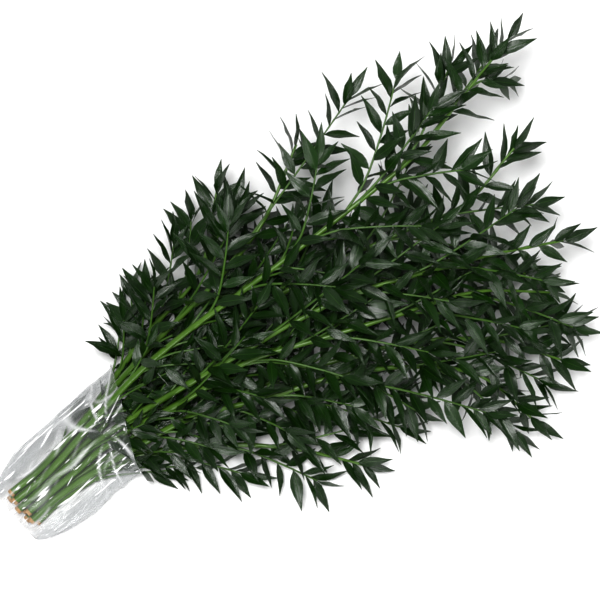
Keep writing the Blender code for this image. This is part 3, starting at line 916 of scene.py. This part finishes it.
def film_material():
    """Clear film: nearly unseen over the canes, painted grey shade beside, long painted white
    glints.
    """
    made, tree, shader = new_material("clear_film", FILM_TINT, roughness=0.08)
    # Painted highlight: white glints on the creases and in long streaks, in colour and alpha
    crease_glint = attribute(tree, "crease_glint")
    beside_shade = attribute(tree, "beside_shade")
    along = glint_streaks(tree, scale=230, turn=0.05, source=(0.62, 0.68))
    slant = glint_streaks(tree, scale=170, turn=0.42, source=(0.67, 0.72))
    shine = math_node(tree, "MAXIMUM", math_node(tree, "MAXIMUM", along, slant), crease_glint)
    skin = mix_colour(tree, shine, FILM_PAINTED_SHADE, WHITE)
    tree.links.new(skin, shader.inputs["Base Color"])
    clouds = object_noise(tree, scale=30, detail=2, stretch=(0.4, 1, 1))
    # Painted shade: a grey veil beside the pack of canes, and soft patches of it all over
    painted_veil = math_node(tree, "ADD", math_node(tree, "MULTIPLY", beside_shade, 0.17),
                     math_node(tree, "MULTIPLY", clouds, 0.09))
    alpha = math_node(tree, "ADD", painted_veil, math_node(tree, "MULTIPLY", shine, 0.72))
    tree.links.new(alpha, shader.inputs["Alpha"])
    shader.inputs["IOR"].default_value = 1.5
    wrinkles = object_noise(tree, scale=45, detail=2, stretch=(0.25, 1, 1))
    bump(tree, shader, wrinkles, distance=0.0015, strength=0.5)
    return made


# Leaves


def swing(share):
    """How far a blade's rib has swung to one side, as a share of its sweep."""
    return share**2 - SWEEP_BACK * share


def blade(number, looks):
    """One leaf to copy: a grid drawn in to the leaf's outline, folded, waved and thickened."""
    fold, wave, sweep, twist = BLADE_FORMS[number]
    spans = len(BLADE_LINES) - 1
    bpy.ops.mesh.primitive_grid_add(x_subdivisions=spans, y_subdivisions=BLADE_ROWS, size=1)
    leaf = bpy.context.object
    leaf.name = f"blade_{number}"
    bpy.ops.object.mode_set(mode="EDIT")
    for line, (share, width) in enumerate(BLADE_LINES):
        at = line / spans - 0.5
        pick(leaf, lambda co, at=at: math.isclose(co.x, at, abs_tol=0.01))
        bpy.ops.transform.resize(value=(1, width, 1), center_override=(at, 0, 0))
        bpy.ops.transform.translate(value=(share - at, sweep * swing(share), 0))
    bpy.ops.object.mode_set(mode="OBJECT")
    for point in leaf.data.vertices:
        share, off = point.co.x, abs(point.co.y - sweep * swing(point.co.x))
        hand = 1 if point.co.y > 0 else -1
        ripple = wave * math.sin(share * WAVE_TURN + number * WAVE_SHIFT)
        ripple = ripple * min(1, off * WAVE_GROWTH) * (WAVE_MEAN + WAVE_LEAN * hand)
        turn = math.radians(twist) * share
        point.co.z = LEAF_ASPECT * fold * off + ripple
        point.co.z += math.sin(turn) * point.co.y * LEAF_ASPECT
    thicken(leaf, BLADE_THICKNESS, underside=1)
    bpy.ops.object.shade_smooth_by_angle(angle=BLADE_SHARP_EDGE)
    for look in looks:
        leaf.data.materials.append(look)
    return leaf


def leaf_points(shape, leaf, base):
    """Where a blade's points go when it is bent to its droop and set on its twig."""
    across = np.cross(leaf["normal"], leaf["along"])
    length, width = leaf["length"], leaf["width"]
    along = shape[:, 0] * length
    rise = shape[:, 2] * length - leaf["droop"] * length * shape[:, 0]**2
    placed = (base + np.outer(along, leaf["along"]) + np.outer(shape[:, 1] * width, across)
              + np.outer(rise, leaf["normal"]))
    return in_frame(placed)


def copy_blade(master, shape, leaf, base, tone):
    """A copy of a blade with its own mesh, as one leaf of a stem."""
    mesh = master.data.copy()
    placed = leaf_points(shape, leaf, base)
    mesh.vertices.foreach_set("co", placed.ravel())
    set_attribute(mesh, "tone", np.full(len(placed), tone))
    made = bpy.data.objects.new("leaf", mesh)
    bpy.context.scene.collection.objects.link(made)
    return made


# Canes and twigs


def add_rod(curve, route, radii, look):
    """One rod of a curve object, as a smooth run of points."""
    rod = curve.splines.new("POLY")
    rod.points.add(len(route) - 1)
    placed = in_frame(route)
    rod.points.foreach_set("co", np.hstack([placed, np.ones((len(placed), 1))]).ravel())
    rod.points.foreach_set("radius", np.array(radii, float) * MM)
    rod.material_index = look
    rod.use_smooth = True


def even_route(coarse, spacing):
    """Evenly spaced points of a smooth curve through a few, and their distances along it."""
    fine = smooth_route(coarse, 16)
    along = walk(fine)
    distances = np.linspace(0, along[-1], max(4, round(along[-1] / spacing)))
    route = np.stack([np.interp(distances, along, fine[:, k]) for k in range(3)], axis=1)
    return route, distances


def knots(distances, places, height, spread):
    """Small swellings at places along a rod."""
    swell = np.zeros(len(distances))
    for place in places:
        swell = np.maximum(swell, height * np.exp(-((distances - place) / spread)**2))
    return swell


def new_rods(name, looks):
    """A curve object for the round rods of one stem."""
    bpy.ops.curve.primitive_bezier_curve_add()
    rods = bpy.context.object
    rods.name = f"ruscus_{name}"
    curve = rods.data
    curve.splines.clear()
    curve.dimensions = "3D"
    curve.bevel_mode = "ROUND"
    curve.bevel_depth = 1.0
    curve.bevel_resolution = 1
    curve.use_fill_caps = True
    for look in looks:
        curve.materials.append(look)
    return rods


def build_stem(name, cane, twigs, leaves, looks, blades, shapes, dice):
    """A leafy stem: cane and twigs as bevelled curves made mesh, with the leaves joined on."""
    rods = new_rods(name, looks["rods"])
    route, distances = even_route(cane, CANE_STEP)
    places = [walk(cane)[-1] * share for share, *_ in STEMS[name][2]]
    places += list(np.arange(CANE_KNOTS_FROM, distances[-1], CANE_KNOT_SPACING))
    radii = [CANE_SLIMMER * cane_radius(d / distances[-1]) for d in distances]
    add_rod(rods.data, route, np.array(radii) + knots(distances, places, *CANE_KNOT), 0)
    routes = {name: route}
    for twig in twigs:
        if twig["name"] == name:
            continue
        route, distances = even_route(twig["route"], TWIG_STEP)
        swell = knots(distances, np.arange(distances[-1], 0, -LEAF_SPACING), *TWIG_KNOT)
        add_rod(rods.data, route, np.linspace(*TWIG_RADII, len(route)) + swell, 1)
        routes[twig["name"]] = route
    only(rods)
    bpy.ops.object.convert(target="MESH")
    copies = []
    for leaf in leaves:
        route = routes[leaf["twig"]]
        base = route[np.argmin(np.linalg.norm(route - leaf["base"], axis=1))]
        number = dice.randrange(len(blades))
        tone = min(1, max(0, dice.gauss(*LEAF_TONE)))
        copies.append(copy_blade(blades[number], shapes[number], leaf, base, tone))
    only(rods, *copies)
    bpy.ops.object.join()
    return rods


# Film


def ramp(value, start, length):
    """From 0 at the start to 1 a length on, and level on either side."""
    return max(0, min(1, (value - start) / length))


def station_at(share):
    """The sleeve's station at a share of its length."""
    fine = smooth_route(np.array(FILM_STATIONS, float), 12)
    position = share * (len(fine) - 1)
    low = min(int(position), len(fine) - 2)
    return fine[low] + (fine[low + 1] - fine[low]) * (position - low)


def patches(distance, turn, length, rounds, seed):
    """Slow patches over the film, from 0 to 1."""
    place = Vector((distance / length + seed[0], turn * rounds, seed[1]))
    return 0.5 + 0.5 * noise.noise(place)


def fold_line(position, width):
    """A fold's height, from 0 in a valley to 1 on a ridge, and how near the ridge is."""
    height = 1 - abs(2 * (position % 1.0) - 1)
    return height, max(0.0, 1 - (1 - height) / width)


def crumple(distance, across, turn):
    """How far the film is pushed out, the glint painted on its crease, and the pinch's pull."""
    drift = noise.noise(Vector((distance / 55, math.cos(turn), math.sin(turn))))
    patch = patches(distance, turn, length=32, rounds=2.1, seed=(9, 3.3))
    other = patches(distance, turn, length=24, rounds=3.2, seed=(4, 8.1))
    ahead, aside = distance - PINCH[0], across - PINCH[1]
    reach = math.hypot(ahead, aside)
    pull = math.exp(-reach / PINCH_REACH)

    count, width, long_push = LONG_FOLDS
    long_fold, long_line = fold_line(turn * count + drift * LONG_DRIFT, width)
    count, width, slant_push = SLANT_FOLDS
    slant_fold, slant_line = fold_line(turn * count + distance / SLANT_LENGTH + drift, width)
    count, width, spoke_push = SPOKE_FOLDS
    width += SPOKE_WIDENS[0] / (reach + SPOKE_WIDENS[1])
    spoke, spoke_line = fold_line(math.atan2(aside, ahead) * count + drift * SPOKE_DRIFT, width)

    push = long_push * long_fold * patch + slant_push * slant_fold * other
    push += spoke_push * spoke * pull
    # Painted highlight: a white glint along the crease lines, for the film's colour and alpha
    painted_glint = max(long_line * (patch - LONG_THRESHOLD) * CREASE_GLINT_GAIN,
                slant_line * (other - SLANT_THRESHOLD) * CREASE_GLINT_GAIN,
                spoke_line * min(1, pull * SPOKE_GLINT_GAIN) * ramp(reach, *SPOKE_GLINT_RAMP))
    return push - MEAN_PUSH, min(1.0, max(0.0, painted_glint)), pull


def shape_film(film):
    """Wrap a grid round the stations and crumple it above the table."""
    ahead, left = pack_axes()
    stations = [station_at(row / FILM_LONG) for row in range(FILM_LONG + 1)]
    crease_glints, beside_shades = [], []
    for point in film.data.vertices:
        along, turn = point.co.x + 0.5, (point.co.y + 0.5) * 2 * math.pi
        distance, half, height, slant = stations[round(along * FILM_LONG)]
        side, rise = math.cos(turn), math.sin(turn)
        push, painted_glint, pull = crumple(distance, FILM_MIDDLE + half * side, turn)
        free = ramp(rise, *FREE_RISE) * ramp(along, *FREE_SHARE)
        near_lip = max(0, along - LIP_FROM)
        lip = LIP_WAVER * noise.noise(Vector((turn * 1.6, 0.5, 2.2))) * near_lip / LIP_OVER
        place = (ahead * (distance + slant * side + lip - LIP_SHORTER * near_lip)
                 + left * (FILM_MIDDLE + (half + push * free * SIDE_PUSH) * side))
        z = film_height(rise, height) - PINCH_DEPTH * pull * max(0, rise) * free
        z = max(FILM_LOWEST, z + push * free * max(0, rise))
        # Painted glint on the creases, faint on the flat underside and the closed end
        crease_glints.append(painted_glint * max(LEAST_CREASE_GLINT, free))
        # Painted grey shade on the film, more of it further beside the pack of canes
        beyond = abs(half * side) - PACK_HALF_WIDTH - PACK_WIDENS * distance
        beside_shades.append(ramp(beyond, 0, BESIDE_OVER))
        point.co = Vector(in_frame([place + np.array([0, 0, z])])[0])
    # Painted glints and painted grey shade, for the film's material to read
    set_attribute(film.data, "crease_glint", crease_glints)
    set_attribute(film.data, "beside_shade", beside_shades)


def shut_end(film):
    """Close the sleeve round the cut ends: its end ring is filled from side to side."""
    end = in_frame([pack_axes()[0] * (FILM_STATIONS[0][0] + END_INSET)])[0][0]
    bpy.ops.object.mode_set(mode="EDIT")
    bpy.ops.mesh.select_all(action="DESELECT")
    bpy.ops.mesh.select_non_manifold()
    bpy.ops.object.mode_set(mode="OBJECT")
    for point in film.data.vertices:
        if point.select and point.co.x > end + END_DEPTH:
            point.select = False
    for edge in film.data.edges:
        edge.select = all(film.data.vertices[k].select for k in edge.vertices)
    bpy.ops.object.mode_set(mode="EDIT")
    bpy.ops.mesh.fill()
    bpy.ops.mesh.select_all(action="SELECT")
    bpy.ops.mesh.normals_make_consistent(inside=False)
    bpy.ops.object.mode_set(mode="OBJECT")


def build_film(look):
    """The sleeve: a fine crumpled tube, shut at the cut ends and open at its mouth."""
    bpy.ops.mesh.primitive_grid_add(x_subdivisions=FILM_LONG, y_subdivisions=FILM_ROUND,
                                    size=1)
    film = bpy.context.object
    film.name = "clear_film_sleeve"
    shape_film(film)
    bpy.ops.object.mode_set(mode="EDIT")
    bpy.ops.mesh.select_all(action="SELECT")
    bpy.ops.mesh.remove_doubles(threshold=SEAM_GAP * MM)
    bpy.ops.mesh.select_mode(type="EDGE")
    bpy.ops.object.mode_set(mode="OBJECT")
    shut_end(film)
    thicken(film, FILM_THIN * MM)
    bpy.ops.object.shade_smooth()
    film.data.materials.append(look)
    return film


# Cut ends


def build_cut_ends(canes, look):
    """The pale cut faces at the foot of the canes, one disc to each."""
    ahead, _ = pack_axes()
    forward = Vector(in_frame([ahead * 1000])[0] - in_frame([ahead * 0])[0]).normalized()
    turn = forward.to_track_quat("Z", "Y").to_matrix().to_4x4()
    bpy.ops.mesh.primitive_cylinder_add(vertices=CUT_POINTS, radius=CUT_RADIUS * MM,
                                        depth=CUT_DEPTH * MM)
    disc = bpy.context.object
    bpy.ops.object.mode_set(mode="EDIT")
    bpy.ops.mesh.select_mode(type="EDGE")
    bpy.ops.mesh.select_all(action="SELECT")
    bpy.ops.mesh.bevel(offset=CUT_BEVEL * MM, segments=2)
    bpy.ops.object.mode_set(mode="OBJECT")
    copies = []
    for cane in canes.values():
        copy = disc.copy()
        copy.data = disc.data.copy()
        bpy.context.scene.collection.objects.link(copy)
        place = Vector(in_frame([cane[0] + ahead * CUT_INSET])[0])
        copy.data.transform(Matrix.Translation(place) @ turn)
        copies.append(copy)
    bpy.data.objects.remove(disc)
    only(*copies)
    bpy.ops.object.join()
    ends = bpy.context.object
    ends.name = "cut_ends"
    ends.data.materials.append(look)
    return ends


# The studio


def build_floor():
    bpy.ops.mesh.primitive_plane_add(size=TABLE_SIZE, location=(0, 0, TABLE_BELOW))
    floor = bpy.context.object
    floor.name = "table"
    look, _, shader = new_material("white_table", TABLE_WHITE, roughness=0.7)
    shader.inputs["Specular IOR Level"].default_value = 0.2
    floor.data.materials.append(look)


def add_light(name, place, size, energy):
    """A soft square light at a place of the plan in metres, facing the bunch."""
    light = bpy.data.lights.new(name, "AREA")
    light.shape = "SQUARE"
    light.size = size
    light.energy = energy
    made = bpy.data.objects.new(name, light)
    made.location = Matrix.Rotation(-BUNCH_HEADING, 3, "Z") @ Vector(place)
    aim = Vector(LIGHT_AIM) - made.location
    made.rotation_euler = aim.to_track_quat("-Z", "Y").to_euler()
    bpy.context.scene.collection.objects.link(made)


def add_camera():
    camera = bpy.data.cameras.new("camera")
    camera.lens = CAMERA_LENS
    made = bpy.data.objects.new("camera", camera)
    x, y, _ = in_frame([(*CAMERA_PLAN, 0)])[0]
    made.location = (x, y, CAMERA_HEIGHT)
    made.rotation_euler = (0, 0, -BUNCH_HEADING)
    bpy.context.scene.collection.objects.link(made)
    bpy.context.scene.camera = made


def build_studio():
    world = bpy.data.worlds.new("studio")
    world.use_nodes = True
    sky = world.node_tree.nodes["Background"]
    sky.inputs["Color"].default_value = WHITE + (1,)
    sky.inputs["Strength"].default_value = SKY_STRENGTH
    scene = bpy.context.scene
    scene.world = world
    scene.view_settings.view_transform = "Standard"
    scene.view_settings.gamma = GAMMA
    for light in LIGHTS:
        add_light(*light)
    add_camera()


def main():
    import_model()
    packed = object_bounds()
    build_studio()
    looks = {
        "leaf": (leaf_material("leaf_top", LEAF_TOP, roughness=0.25, gloss=0.55),
                 leaf_material("leaf_underside", LEAF_UNDERSIDE, roughness=0.44, gloss=0.3)),
        "rods": (cane_material("cane_bark", CANE_BARK, roughness=0.32, scale=260),
                 cane_material("twig_skin", TWIG_SKIN, roughness=0.36, scale=300)),
    }
    canes, twigs, leaves = lay_bunch(packed[1][2] / MM + HEADROOM)
    blades = [blade(number, looks["leaf"]) for number in range(len(BLADE_FORMS))]
    shapes = [np.array([point.co[:] for point in master.data.vertices]) for master in blades]
    dice = random.Random(SEED)
    for name in STEMS:
        own_twigs = [twig for twig in twigs if twig["stem"] == name]
        own_leaves = [leaf for leaf in leaves if leaf["stem"] == name]
        stem = build_stem(name, canes[name], own_twigs, own_leaves, looks, blades, shapes, dice)
        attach(stem, "root")
        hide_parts("leafy_stem_" + name)
    for master in blades:
        bpy.data.objects.remove(master)
    film = build_film(film_material())
    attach(film, "root")
    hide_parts("film_sleeve")
    ends = build_cut_ends(canes, wood_material())
    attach(ends, "root")
    build_floor()


main()
